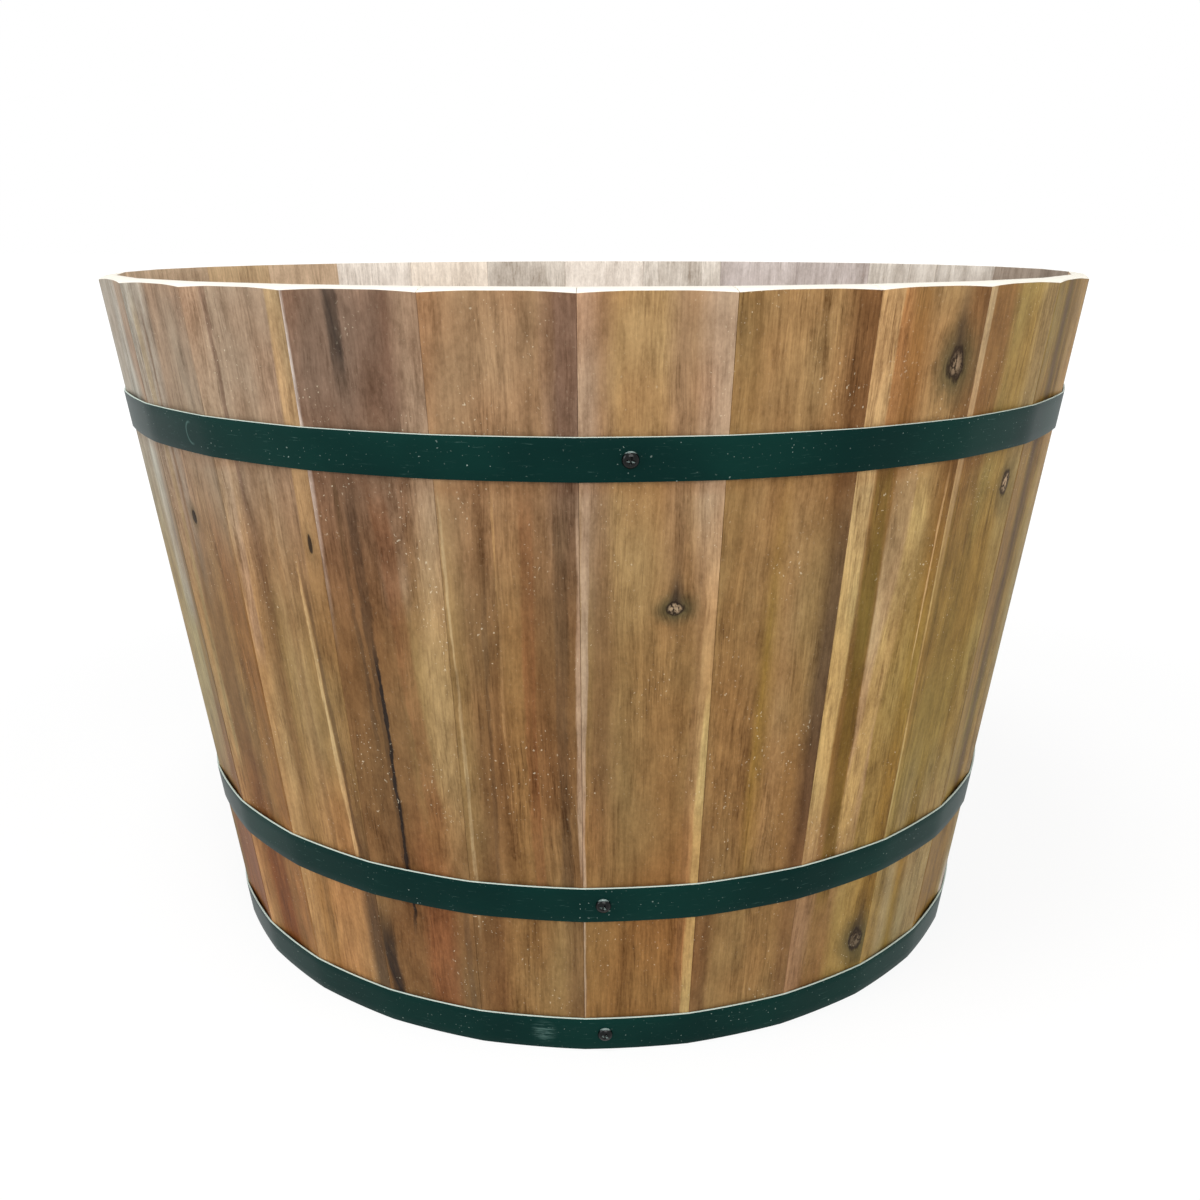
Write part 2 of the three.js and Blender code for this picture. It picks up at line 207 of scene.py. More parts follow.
class Hoop:
    """A flat strip round the tub: the height of its middle, how far left of a stave's middle it is
    screwed, and where its paint is worn."""

    def __init__(self, name, height, screw_offset, worn):
        self.name = name
        self.height = height
        self.worn = worn
        self.radius = ridge_radius_at(height)
        self.screw_turn = -math.asin(screw_offset / self.inside(0))
        self.rivet_turn = math.asin(RIVET_SPACING / 2 / self.inside(0))
        self.layer = (HOOP_THICKNESS + HOOP_REST) / math.cos(RIDGE_LEAN)

    def inside(self, from_middle):
        """Distance from the axis to the inner face, at this angle from the middle of a stave."""
        round_strip = self.radius + HOOP_REST / math.cos(RIDGE_LEAN)
        flat_strip = round_strip * math.cos(HALF_PITCH) / math.cos(from_middle)
        return round_strip + (flat_strip - round_strip) * HOOP_FLATTENING

    def seat(self, from_middle, layers):
        """Where a head bears on this many layers of the strip."""
        return self.inside(from_middle) + layers * self.layer


TOP_HOOP_HEIGHT = RIDGE_HEIGHT - TOP_HOOP_DROP
BASE_HOOP_HEIGHT = BASE_HOOP_LIFT + BASE_HOOP_HALF
HOOPS = [
    Hoop("top", TOP_HOOP_HEIGHT, 10 * MM, scuff(-45, 318 * MM, 5 * MM, 6 * MM, 0.35, curved=True)),
    Hoop("middle", MIDDLE_HOOP_HEIGHT, 18.5 * MM, scuff(140, 92 * MM, 14 * MM, 7 * MM, 0.5)),
    Hoop("base", BASE_HOOP_HEIGHT, 16.5 * MM, scuff(-7, 11 * MM, 8 * MM, 9 * MM, 0.5)),
]

# ---------------------------------------------------------------- tools for meshes


def numbered(name, index):
    return f"{name}_{index + 1:02d}"


def add_object(name, data):
    made = bpy.data.objects.new(name, data)
    bpy.context.scene.collection.objects.link(made)
    return made


def mesh_data(name, mesh):
    """Turns a bmesh into the data of an object."""
    data = bpy.data.meshes.new(name)
    mesh.to_mesh(data)
    mesh.free()
    return data


def put(mesh, name, slot, material):
    """Makes a finished piece of a bmesh, in place of the frame's node of that name."""
    data = mesh_data(name, mesh)
    data.shade_smooth()
    data.set_sharp_from_angle(angle=math.radians(SMOOTH_BELOW))
    data.materials.append(material)
    piece = add_object(name + "_finish", data)
    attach(piece, "root")
    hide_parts(name)


def turn_to(mesh, angle):
    """Turns a piece made with its middle on +X to its place round the tub."""
    turn = Matrix.Rotation(angle - math.pi / 2, 3, "Z")
    bmesh.ops.rotate(mesh, verts=mesh.verts, cent=(0, 0, 0), matrix=turn)


def face_outwards(mesh):
    bmesh.ops.recalc_face_normals(mesh, faces=mesh.faces)


def extrude(mesh, faces, offset):
    """Extrudes faces by an offset and gives the new faces."""
    made = bmesh.ops.extrude_face_region(mesh, geom=faces)["geom"]
    verts = [part for part in made if isinstance(part, bmesh.types.BMVert)]
    bmesh.ops.translate(mesh, verts=verts, vec=offset)
    return [part for part in made if isinstance(part, bmesh.types.BMFace)]


def ease(mesh, edges, width, segments=2):
    bmesh.ops.bevel(
        mesh,
        geom=edges,
        offset=width,
        affect="EDGES",
        segments=segments,
        profile=0.5,
        material=-1,
        clamp_overlap=True,
    )


def ease_corners(mesh, width, sharper_than=40):
    """Eases every edge whose faces turn by more than this many degrees."""
    limit = math.radians(sharper_than)
    mesh.normal_update()
    ease(mesh, [e for e in mesh.edges if e.is_manifold and e.calc_face_angle() > limit], width)


def turned(profile):
    """A piece turned on Z, from (radius, height) points that start and end on the axis."""
    mesh = bmesh.new()
    verts = [mesh.verts.new((radius, 0, height)) for radius, height in profile]
    edges = [mesh.edges.new(pair) for pair in zip(verts, verts[1:])]
    bmesh.ops.spin(
        mesh,
        geom=verts + edges,
        cent=(0, 0, 0),
        axis=(0, 0, 1),
        angle=2 * math.pi,
        steps=ROUND_STEPS,
        use_merge=True,
    )
    bmesh.ops.remove_doubles(mesh, verts=mesh.verts, dist=MM / 1000)
    face_outwards(mesh)
    return mesh


def cut(mesh, cutter):
    """Takes the cutter's space out of a bmesh and gives what is left."""
    body, tool = [add_object("part", mesh_data("part", part)) for part in (mesh, cutter)]
    difference = body.modifiers.new("cut", "BOOLEAN")
    difference.operation = "DIFFERENCE"
    difference.solver = "EXACT"
    difference.object = tool
    bpy.context.view_layer.update()
    left = bmesh.new()
    left.from_mesh(body.evaluated_get(bpy.context.evaluated_depsgraph_get()).to_mesh())
    for part in (body, tool):
        data = part.data
        bpy.data.objects.remove(part)
        bpy.data.meshes.remove(data)
    return left


# ---------------------------------------------------------------- staves

# Rounds in which a ridge, or a point of the rim, closes in on its place
RIDGE_STEPS = 4
RIM_STEPS = 3


def stave_rows():
    """Heights of the rows of faces, with a row's edge on each edge of the base groove."""
    edges = [0, BOARD_LIFT - SEAT_GAP, BOARD_TOP + SEAT_GAP, RIDGE_HEIGHT]
    rows = [0]
    for low, high in zip(edges, edges[1:]):
        count = math.ceil((high - low) / STAVE_ROW)
        rows += [low + (high - low) * (i + 1) / count for i in range(count)]
    return rows


def turned_in(side):
    """How far behind the floor of the cove the turned part of a stave's end starts."""
    beyond = side**2 / (2 * RIM_COVE) - RIM_TURNING_START
    turned_part = beyond * RIM_TURNING_SLOPE / (RIM_TURNING_SLOPE - math.tan(STAVE_LEAN))
    return max(turned_part, TURNED_LEAST)


def stave_vertex(across, height, layer, seed):
    """Where a point of the stave lies: across runs from -1 to 1, and layer from 0, the outer face,
    through 0.5, where the turned edge starts, and 1, the groove's floor, to 2, the inner face."""
    gap = JOINT_HALF_GAP + JOINT_RAGGED * abs(noise.noise((seed, height * JOINT_WAVES, across)))
    turned_from = turned_in(across * RIM_COVE * math.tan(HALF_PITCH))
    depths = {0: 0, 0.5: turned_from, 1: STAVE_THICKNESS - GROOVE_DEPTH, 2: STAVE_THICKNESS}
    behind = depths[layer]
    distance = plank_distance(height, behind)
    half_width = distance * math.tan(HALF_PITCH)
    if layer == 0:
        for _ in range(RIDGE_STEPS):
            sag = cove_sag(half_width) / math.cos(STAVE_LEAN)
            half_width = (distance + sag) * math.tan(HALF_PITCH)
    side = across * (half_width - gap / math.cos(HALF_PITCH))
    if layer == 0:
        distance += cove_sag(side) / math.cos(STAVE_LEAN)
        ripple = noise.noise((seed, height * RIPPLE_WAVES, across * 2 + seed))
        distance -= FACE_RIPPLE * (1 + ripple)
    if height == RIDGE_HEIGHT:
        square = rim_height(cove_sag(side) if layer == 0 else -behind)
        for _ in range(RIM_STEPS):
            outside = math.hypot(distance, side) - TURNED_RADIUS
            rise = min(square, RIM_EDGE_HEIGHT - outside * RIM_TURNING_SLOPE) - height
            distance += rise * math.tan(STAVE_LEAN)
            height += rise
    return distance, side, height


def crosses_layers(edge):
    return edge.verts[0].co.z != edge.verts[1].co.z


def stave_mesh(index):
    """A grid of shares across and up the stave, thickened in two steps, the second not in the
    groove."""
    rows = stave_rows()
    mesh = bmesh.new()
    bmesh.ops.create_grid(mesh, x_segments=STAVE_ACROSS, y_segments=len(rows) - 1, size=1)
    for vert in mesh.verts:
        vert.co.y = rows[round((vert.co.y + 1) / 2 * (len(rows) - 1))]
    top_row = max(vert.co.y for vert in mesh.verts)
    back = extrude(mesh, mesh.faces[:], (0, 0, -1))
    groove = [f for f in back if BOARD_LIFT < f.calc_center_median().y < BOARD_TOP]
    extrude(mesh, [face for face in back if face not in groove], (0, 0, -1))
    upper_end = {v for v in mesh.verts if v.co.y == top_row and v.co.z > -1.5}
    first_step = [e for e in mesh.edges if upper_end.issuperset(e.verts) and crosses_layers(e)]
    bmesh.ops.subdivide_edges(mesh, edges=first_step, cuts=1)
    face_outwards(mesh)
    for vert in mesh.verts:
        height = min(rows, key=lambda row: abs(row - vert.co.y))
        layer = round(-2 * vert.co.z) / 2
        vert.co = stave_vertex(vert.co.x, height, layer, index)
    ease_corners(mesh, STAVE_EDGE)
    face_outwards(mesh)
    turn_to(mesh, stave_angle(index))
    return mesh


# ---------------------------------------------------------------- hoops


def hoop_vertex(hoop, along, up, out):
    """A point of the strip: along its length from 0 to 1, up its width from -1 to 1, out through
    its thickness from 0 to 1. It climbs over its own start for the width of one stave."""
    turned_by = along * (2 * math.pi + PITCH)
    climb = min(max((turned_by - 2 * math.pi + HALF_PITCH) / HALF_PITCH, 0), 1)
    distance = hoop.seat(turned_by % PITCH - HALF_PITCH, climb * climb * (3 - 2 * climb))
    rise = up * HOOP_WIDTH / 2
    stand = out * HOOP_THICKNESS
    radius = distance + rise * math.sin(RIDGE_LEAN) + stand * math.cos(RIDGE_LEAN)
    height = hoop.height + rise * math.cos(RIDGE_LEAN) - stand * math.sin(RIDGE_LEAN)
    angle = stave_angle(LAP_STAVE) - HALF_PITCH + turned_by
    return radius * math.sin(angle), -radius * math.cos(angle), height


def at_corner(vert):
    """Whether a point of the grid that a strip starts as is one of its four corners."""
    return abs(abs(vert.co.x) - 1) + abs(abs(vert.co.y) - 1) < 1e-6


def hoop_mesh(hoop):
    mesh = bmesh.new()
    steps = (STAVE_COUNT + 1) * HOOP_STEPS_PER_STAVE
    bmesh.ops.create_grid(mesh, x_segments=steps, y_segments=4, size=1)
    extrude(mesh, mesh.faces[:], (0, 0, 1))
    face_outwards(mesh)
    corners = [e for e in mesh.edges if all(map(at_corner, e.verts)) and crosses_layers(e)]
    for vert in mesh.verts:
        vert.co = hoop_vertex(hoop, (vert.co.x + 1) / 2, vert.co.y, vert.co.z)
    ease(mesh, corners, HOOP_CORNER, segments=5)
    ease_corners(mesh, HOOP_EDGE, sharper_than=50)
    face_outwards(mesh)
    return mesh


# ---------------------------------------------------------------- screws and rivets


def pan_profile(radius, height, edge):
    """The outline of a domed head, from its middle down to its bearing face."""
    points = []
    for i in range(HEAD_STEPS + 1):
        turn = i / HEAD_STEPS * math.pi / 2
        points.append((radius * math.sin(turn), edge + (height - edge) * math.cos(turn)))
    return points + [(radius, 0)]


def off_the_cross(face):
    """Whether a face of a grid of nine is one of its four corners."""
    middle = face.calc_center_median()
    return min(abs(middle.x), abs(middle.y)) > 0.1


def cross_cutter():
    """A cross that narrows downwards, for the recess of a screw's head."""
    mesh = bmesh.new()
    bmesh.ops.create_grid(mesh, x_segments=3, y_segments=3, size=1)
    outer = [face for face in mesh.faces if off_the_cross(face)]
    bmesh.ops.delete(mesh, geom=outer, context="FACES")
    for vert in mesh.verts:
        for axis in (0, 1):
            size = RECESS_REACH if abs(vert.co[axis]) > 0.5 else RECESS_HALF_WIDTH
            vert.co[axis] = math.copysign(size, vert.co[axis])
    bmesh.ops.translate(mesh, verts=mesh.verts, vec=(0, 0, SCREW_HEAD_HEIGHT + CUTTER_EXCESS))
    floor = extrude(mesh, mesh.faces[:], (0, 0, -RECESS_DEPTH))
    bottom = {vert for face in floor for vert in face.verts}
    bmesh.ops.scale(mesh, verts=list(bottom), vec=(RECESS_FLOOR, RECESS_FLOOR, 1))
    face_outwards(mesh)
    return mesh


def screw_mesh(length):
    """A pan-head wood screw, its head above z = 0."""
    shank = SCREW_SHANK_DIAMETER / 2
    profile = pan_profile(SCREW_HEAD_DIAMETER / 2, SCREW_HEAD_HEIGHT, SCREW_HEAD_HEIGHT / 4)
    profile += [(shank, 0), (shank, SCREW_POINT_LENGTH - length), (0, -length)]
    mesh = cut(turned(profile), cross_cutter())
    ease_corners(mesh, HEAD_EDGE, sharper_than=55)
    return mesh


def rivet_mesh():
    """A round-head rivet above the lap, with its shank down to the outer strip's inner face."""
    shank = SCREW_SHANK_DIAMETER / 2
    profile = pan_profile(RIVET_HEAD_DIAMETER / 2, RIVET_HEAD_HEIGHT, RIVET_RIM)
    return turned(profile + [(shank, 0), (shank, -HOOP_THICKNESS), (0, -HOOP_THICKNESS)])


def stand_out(mesh, hoop, distance, angle, twist):
    """Sets a fastener made along +Z into the face of a hoop, turned on itself by twist."""
    place = (
        Matrix.Rotation(angle - math.pi / 2, 4, "Z")
        @ Matrix.Translation((distance, 0, hoop.height))
        @ Matrix.Rotation(math.pi / 2 + RIDGE_LEAN, 4, "Y")
        @ Matrix.Rotation(twist, 4, "Z")
    )
    bmesh.ops.transform(mesh, matrix=place, verts=mesh.verts)
    return mesh


# ---------------------------------------------------------------- base

BOARD_AXES = [(i - (BOARD_COUNT - 1) / 2) * BOARD_WIDTH for i in range(BOARD_COUNT)]


def board_mesh(axis):
    """One board of the round base, cut from a disc, with drain holes in the two middle boards."""
    mesh = bmesh.new()
    bmesh.ops.create_circle(mesh, cap_ends=True, segments=8 * STAVE_COUNT, radius=BASE_RADIUS)
    for side in (-1, 1):
        edge = axis + side * (BOARD_WIDTH - BOARD_JOINT_GAP) / 2
        whole = mesh.verts[:] + mesh.edges[:] + mesh.faces[:]
        bmesh.ops.bisect_plane(
            mesh, geom=whole, plane_co=(0, edge, 0), plane_no=(0, side, 0), clear_outer=True
        )
    bmesh.ops.translate(mesh, verts=mesh.verts, vec=(0, 0, BOARD_LIFT))
    upper = extrude(mesh, mesh.faces[:], (0, 0, BOARD_THICKNESS - BOARD_BEVEL_HEIGHT))
    top = extrude(mesh, upper, (0, 0, BOARD_BEVEL_HEIGHT))
    for vert in {vert for face in top for vert in face.verts}:
        reach = math.hypot(vert.co.x, vert.co.y)
        if reach > BOARD_FLAT_RADIUS:
            sideways = math.sqrt(max(BOARD_FLAT_RADIUS**2 - vert.co.y**2, 0))
            vert.co.x = math.copysign(sideways, vert.co.x)
            if vert.co.y**2 > BOARD_FLAT_RADIUS**2:
                vert.co.y = math.copysign(BOARD_FLAT_RADIUS, vert.co.y)
    bmesh.ops.remove_doubles(mesh, verts=mesh.verts, dist=MM / 100)
    face_outwards(mesh)
    if abs(axis) < BOARD_WIDTH:
        for x in (-DRAIN_HOLE_OFFSET, DRAIN_HOLE_OFFSET):
            drill = bmesh.new()
            bmesh.ops.create_cone(
                drill,
                cap_ends=True,
                segments=ROUND_STEPS,
                radius1=DRAIN_HOLE_DIAMETER / 2,
                radius2=DRAIN_HOLE_DIAMETER / 2,
                depth=4 * BOARD_THICKNESS,
            )
            bmesh.ops.translate(drill, verts=drill.verts, vec=(x, axis, BOARD_LIFT))
            mesh = cut(mesh, drill)
    ease_corners(mesh, BOARD_EDGE / 2)
    return mesh


def batten_mesh(x):
    mesh = bmesh.new()
    bmesh.ops.create_cube(mesh, size=1)
    size = (BATTEN_WIDTH, 2 * BATTEN_HALF_LENGTH, BATTEN_THICKNESS)
    bmesh.ops.scale(mesh, verts=mesh.verts, vec=size)
    ease(mesh, [edge for edge in mesh.edges if crosses_layers(edge)], BATTEN_CORNER_CUT, segments=1)
    ease_corners(mesh, BOARD_EDGE)
    bmesh.ops.translate(mesh, verts=mesh.verts, vec=(x, 0, BATTEN_BOTTOM + BATTEN_THICKNESS / 2))
    return mesh


def batten_screw_places():
    """Each batten has one screw into each board, in the middle of what it covers of that board."""
    for x in (-BATTEN_OFFSET, BATTEN_OFFSET):
        for axis in BOARD_AXES:
            near = max(axis - BOARD_WIDTH / 2, -BATTEN_HALF_LENGTH)
            far = min(axis + BOARD_WIDTH / 2, BATTEN_HALF_LENGTH)
            yield x, (near + far) / 2


# ---------------------------------------------------------------- tools for materials


class Link:
    """A socket of a material's nodes. Python's arithmetic signs work on it and add Math nodes."""

    def __init__(self, finish, socket):
        self.finish = finish
        self.socket = socket

    def math(self, operation, *others):
        values = dict(enumerate((self, *others)))
        return self.finish.node("ShaderNodeMath", {"operation": operation}, values)

    def reflected(self, operation, other):
        return self.finish.node("ShaderNodeMath", {"operation": operation}, {0: other, 1: self})

    def __add__(self, other):
        return self.math("ADD", other)

    def __sub__(self, other):
        return self.math("SUBTRACT", other)

    def __rsub__(self, other):
        return self.reflected("SUBTRACT", other)

    def __mul__(self, other):
        return self.math("MULTIPLY", other)

    def __truediv__(self, other):
        return self.math("DIVIDE", other)

    def __rtruediv__(self, other):
        return self.reflected("DIVIDE", other)

    __radd__ = __add__
    __rmul__ = __mul__

    def rise(self, low, high):
        """0 up to the value low, 1 from the value high on, and smooth in between."""
        settings = {"interpolation_type": "SMOOTHSTEP"}
        return self.finish.node("ShaderNodeMapRange", settings, {0: self, 1: low, 2: high})

    def bell(self, width):
        """1 where this value is 0, falling smoothly to 0 at this width on either side."""
        return 1 - self.math("ABSOLUTE").rise(0, width)


class Finish:
    """The nodes of a material or of the world, with the one way in which they are added."""

    def __init__(self, owner):
        self.owner = owner
        owner.use_nodes = True
        self.tree = owner.node_tree
        self.tree.nodes.clear()

    def node(self, kind, settings=None, values=None, output=0):
        """Adds a node and gives one of its outputs, or a list of them where output is a tuple."""
        node = self.tree.nodes.new(kind)
        for key, value in (settings or {}).items():
            if key == "stops":
                self.set_stops(node.color_ramp, value)
            else:
                setattr(node, key, value)
        for key, value in (values or {}).items():
            if isinstance(value, Link):
                self.tree.links.new(value.socket, node.inputs[key])
            else:
                node.inputs[key].default_value = value
        if isinstance(output, tuple):
            return [Link(self, node.outputs[i]) for i in output]
        return Link(self, node.outputs[output])

    def set_stops(self, ramp, stops):
        while len(ramp.elements) < len(stops):
            ramp.elements.new(1)
        for element, (position, colour) in zip(ramp.elements, stops):
            element.position = position
            element.color = colour

    def place(self, turn=0):
        """The three coordinates of a point, in metres, turned back about Z by an angle."""
        point = self.node("ShaderNodeTexCoord", output="Object")
        own = self.node("ShaderNodeMapping", {}, {"Vector": point, "Rotation": (0, 0, -turn)})
        return self.node("ShaderNodeSeparateXYZ", {}, {0: own}, (0, 1, 2))

    def noise(self, x, y, z=0, detail=2, roughness=0.5):
        point = self.node("ShaderNodeCombineXYZ", {}, {0: x, 1: y, 2: z})
        values = {"Vector": point, "Scale": 1, "Detail": detail, "Roughness": roughness}
        return self.node("ShaderNodeTexNoise", {}, values)

    def mix(self, share, first, second):
        settings = {"data_type": "RGBA", "clamp_factor": True}
        return self.node("ShaderNodeMix", settings, {0: share, 6: first, 7: second}, 2)

    def scale(self, colour, factor):
        first = colour if isinstance(colour, Link) else colour[:3]
        return self.node("ShaderNodeVectorMath", {"operation": "SCALE"}, {0: first, 3: factor})

    def times(self, colour, gain):
        first = colour if isinstance(colour, Link) else colour[:3]
        return self.node("ShaderNodeVectorMath", {"operation": "MULTIPLY"}, {0: first, 1: gain})

    def shade(self, colour, light):
        """Darkens and reddens a tone where the light value is under 0.5, and lightens it above."""
        return self.times(colour, self.mix(light, DARK_GAIN, LIGHT_GAIN))

    def bump(self, height, depth, strength):
        """A Bump node's normal; a height of 1 stands for this depth."""
        values = {"Height": height, "Distance": depth, "Strength": strength}
        return self.node("ShaderNodeBump", {}, values)

    def surface(self, **values):
        """Ends the material with a Principled shader."""
        named = {key.replace("_", " "): value for key, value in values.items()}
        self.end(self.node("ShaderNodeBsdfPrincipled", {}, named))

    def seen(self):
        """1 for what the camera sees, directly, in a gloss or through glass."""
        rays = ("Is Camera Ray", "Is Glossy Ray", "Is Transmission Ray")
        camera, glossy, transmission = self.node("ShaderNodeLightPath", output=rays)
        return camera.math("MAXIMUM", glossy).math("MAXIMUM", transmission)

    def end(self, shader, kind="ShaderNodeOutputMaterial"):
        self.node(kind, {}, {"Surface": shader}, ())


# ---------------------------------------------------------------- palette

WHITE = (1, 1, 1, 1)
DARK_GAIN = (0.36, 0.3, 0.24, 1)
LIGHT_GAIN = (1.6, 1.64, 1.63, 1)

TONES = {
    # ash: partly the wood's own grey and partly a painted haze, the sheen of light from the left on
    # the upper left staves
    "ash with painted haze": "aaa297",
    "mauve": "9c8672",
    "rose": "ad9078",
    "plum": "7c6252",
    "sapwood": "c0a074",
    "sand": "b09470",
    "wheat": "b79c69",
    "honey": "9d7d55",
    "tan": "8c6d46",
    "brown": "7b5b3b",
    "russet": "85593a",
    "clay": "946a40",
    "copper": "aa7e52",
    "buff": "a5835a",
    "dust": "98785a",
    "amber": "87623a",
    "rust": "7a4a26",
    "bronze": "7b5e34",
    "umber": "5f4833",
    "ink": "2e2622",
    "olive": "876c38",
    "moss": "6a5426",
    "straw": "99814e",
    "khaki": "998660",
    "cream": "efdfce",
    "shell": "ebded1",
    "linen": "d9cdc0",
    "fawn": "d3b596",
    "biscuit": "cbab84",
    "stone": "c8bab3",
    "taupe": "aa9888",
    "knot": "2b211a",
    "knot halo": "524a33",
    "knot plume": "40342a",
    "knot middle": "a8937a",
    "end grain": "f6f1e6",
    "dust and painted glint": "f3e6c8",
    "sawn dark": "6b4d33",
    "sawn light": "a07d55",
    "green": "062724",
    "green cloud": "0a302b",
    "worn green": "6f918a",
    "painted edge highlight": "d3e2da",
    "green dust": "b9cdc4",
    "black": "040707",
    "worn black": "101616",
    "painted top highlight": "a9bdb9",
    "floor": "d4d4d4",
}


def tone(name):
    """A tone of the palette as the linear colour that sockets hold."""
    code = TONES[name]
    channels = [int(code[i : i + 2], 16) / 255 for i in (0, 2, 4)]
    return [c / 12.92 if c < 0.04045 else ((c + 0.055) / 1.055) ** 2.4 for c in channels] + [1]


# ---------------------------------------------------------------- wood


def knot(across, down, wide, tall, halo, middle=0.0, plume=0.0):
    """A branch's end in a stave: shares across and down it, half sizes in metres, how strong its
    dark halo is, how pale its middle is, and how strong the dark plume above it is."""
    return SimpleNamespace(**locals())


def streak(tone, across, width, down=(-0.2, 1.2), strength=0.8, ragged=0.5):
    """A stripe of another tone along the grain: its share across the stave, or the two where it
    starts and ends, its half width as such a share, the shares down the stave between which it
    runs, its strength, and how far the veins fray it, from 0 to 1."""
    across = across if isinstance(across, tuple) else (across, across)
    return SimpleNamespace(**locals())


def figure(rim, waist, foot, inside, streaks=(), knots=(), heart=(0.3, 0.05, 0.0)):
    """What the wood of one stave looks like. Each row names tones from left to right, each with
    the share of the width where it ends; the rows stand near the rim, at the waist and near the
    foot. The heart is where the tree's middle lies: metres to the right of the stave's middle,
    metres behind its face at the rim, and how much deeper it lies at the foot."""
    return SimpleNamespace(**locals())


# Tones that meet the others at a crisp edge, and the shares of the width that edges take
SAPWOOD = ("sapwood", "sand", "wheat", "stone")
CRISP_EDGE = 0.012
SOFT_EDGE = 0.06


def ramp_stops(row):
    """A colour ramp's stops for a row of tones, two for each."""
    stops = []
    start = 0
    for i, (name, end) in enumerate(row):
        leads = []
        for beside, _ in (row[max(i - 1, 0)], row[min(i + 1, len(row) - 1)]):
            crisp = (name in SAPWOOD) != (beside in SAPWOOD)
            leads.append(min(CRISP_EDGE if crisp else SOFT_EDGE, (end - start) / 2))
        stops.append((start + leads[0], tone(name)))
        stops.append((end - leads[1], tone(name)))
        start = end
    return stops


STREAK_FADE = 0.07  # share of the stave's length at each end of a streak
STAIN_DROP = 3 * MM  # below the top hoop
STAIN_REACH = 6 * MM


class StaveWood(Finish):
    """The wood of one stave: varnished on its outer face, pale end grain on the rim, dry inside."""

    def __init__(self, name, angle, figure, seed):
        super().__init__(bpy.data.materials.new(name))
        self.figure = figure
        self.seed = seed
        self.out, self.side, self.up = self.place(angle)
        self.down = 1 - self.up / RIDGE_HEIGHT
        side = self.side

        self.wander = self.grain(side, 22, 7, detail=3) - 0.5
        waver = self.grain(side, 90, 32, shift=29) - 0.5
        lay = self.bent_round_knots(side + self.wander * 0.010 + waver * 0.0022)
        ring = self.from_heart(lay)
        self.bands = self.grain(ring, 120, 5, shift=7, detail=6, roughness=0.66)
        self.veins = self.grain(ring, 420, 12, shift=11, detail=3, roughness=0.6)
        self.mottle = self.grain(side, 120, 50, detail=5, roughness=0.68)
        self.drift = self.grain(side, 24, 9, shift=23)
        self.fibre = self.grain(lay, 850, 55, detail=4, roughness=0.7)
        self.grit = self.grain(side, 750, 420, shift=37, detail=3, roughness=0.6)
        self.open_grain = self.grain(side, 50, 12, shift=17).rise(0.35, 0.65)
        fine_lines = self.grain(lay, 1300, 60, shift=3, detail=1)
        self.pores = fine_lines.rise(0.56, 0.7) * self.open_grain
        across = 0.5 + side / (self.out * (2 * math.tan(HALF_PITCH)))
        self.layout = across + self.wander * 0.09 + (self.bands - 0.5) * 0.12

    def grain(self, line, across, along, shift=0, detail=2, roughness=0.5):
        """Noise drawn out up the stave: its waves per metre across the line and along it."""
        return self.noise(line * across, self.up * along, self.seed + shift, detail, roughness)

    def bent_round_knots(self, lay):
        """Leads the lines of the grain round each knot, and keeps the knots' own coordinates."""
        self.knots = []
        for knot in self.figure.knots:
            height = RIDGE_HEIGHT * (1 - knot.down)
            width = 2 * ridge_radius_at(height) * math.sin(HALF_PITCH)
            middle = (knot.across - 0.5) * width
            right = (self.side - middle) / knot.wide
            above = (self.up - height) / knot.tall
            far = (right * right + above * above).math("SQRT")
            pull = 1 / (1 + far * far * 0.6)
            lay = lay - pull * (lay - middle)
            self.knots.append((knot, right, above, far))
        return lay

    def from_heart(self, lay):
        """Distance from the tree's middle, which the year rings follow."""
        heart, depth, slope = self.figure.heart
        off = lay - heart
        deep = depth + self.down * slope
        return (off * off + deep * deep).math("SQRT")

    def tones(self):
        """The figure's three rows of tones, run together down the stave."""
        ramps = []
        for row in (self.figure.rim, self.figure.waist, self.figure.foot):
            settings = {"stops": ramp_stops(row)}
            ramps.append(self.node("ShaderNodeValToRGB", settings, {0: self.layout}))
        colour = self.mix(self.down.rise(0.1, 0.46), ramps[0], ramps[1])
        return self.mix(self.down.rise(0.56, 0.86), colour, ramps[2])

    def streaked(self, colour):
        edge = (self.veins - 0.5) * 0.05 + (self.mottle - 0.5) * 0.07
        for streak in self.figure.streaks:
            start, end = streak.down
            slant = (streak.across[1] - streak.across[0]) / (end - start)
            middle = streak.across[0] + (self.down - start) * slant
            off = self.layout + edge * streak.ragged - middle
            mask = off.bell(streak.width).rise(0.05, 0.7)
            mask = mask * self.down.rise(start, start + STREAK_FADE)
            mask = mask * (1 - self.down.rise(end - STREAK_FADE, end))
            frayed = 1 - streak.ragged + self.veins * (2 * streak.ragged)
            colour = self.mix(mask * frayed * streak.strength, colour, tone(streak.tone))
        return colour

    def knotted(self, colour):
        for knot, right, above, far in self.knots:
            jagged = far + (self.mottle - 0.5) * 1.6 + (self.fibre - 0.5) * 0.5
            halo = (1 - jagged.rise(0.6, 3.6)) * knot.halo
            colour = self.mix(halo, colour, tone("knot halo"))
            if knot.plume:
                plume = right.bell(1.2) * (1 - above.rise(1, 7)) * above.rise(-0.2, 0.8)
                plume = plume * (0.4 + self.veins) * knot.plume
                colour = self.mix(plume, colour, tone("knot plume"))
            colour = self.mix((1 - jagged.rise(0.85, 1.25)) * 0.92, colour, tone("knot"))
            middle = (1 - jagged.rise(0.4, 0.9)) * self.grit.rise(0.4, 0.55) * knot.middle
            colour = self.mix(middle, colour, tone("knot middle"))
        return colour

    def relief(self):
        relief = self.fibre * 0.4 + self.bands * 0.6 - self.pores * 0.4
        for _, _, _, far in self.knots:
            relief = relief - (far - 0.95).bell(0.4) * 0.9
        return relief

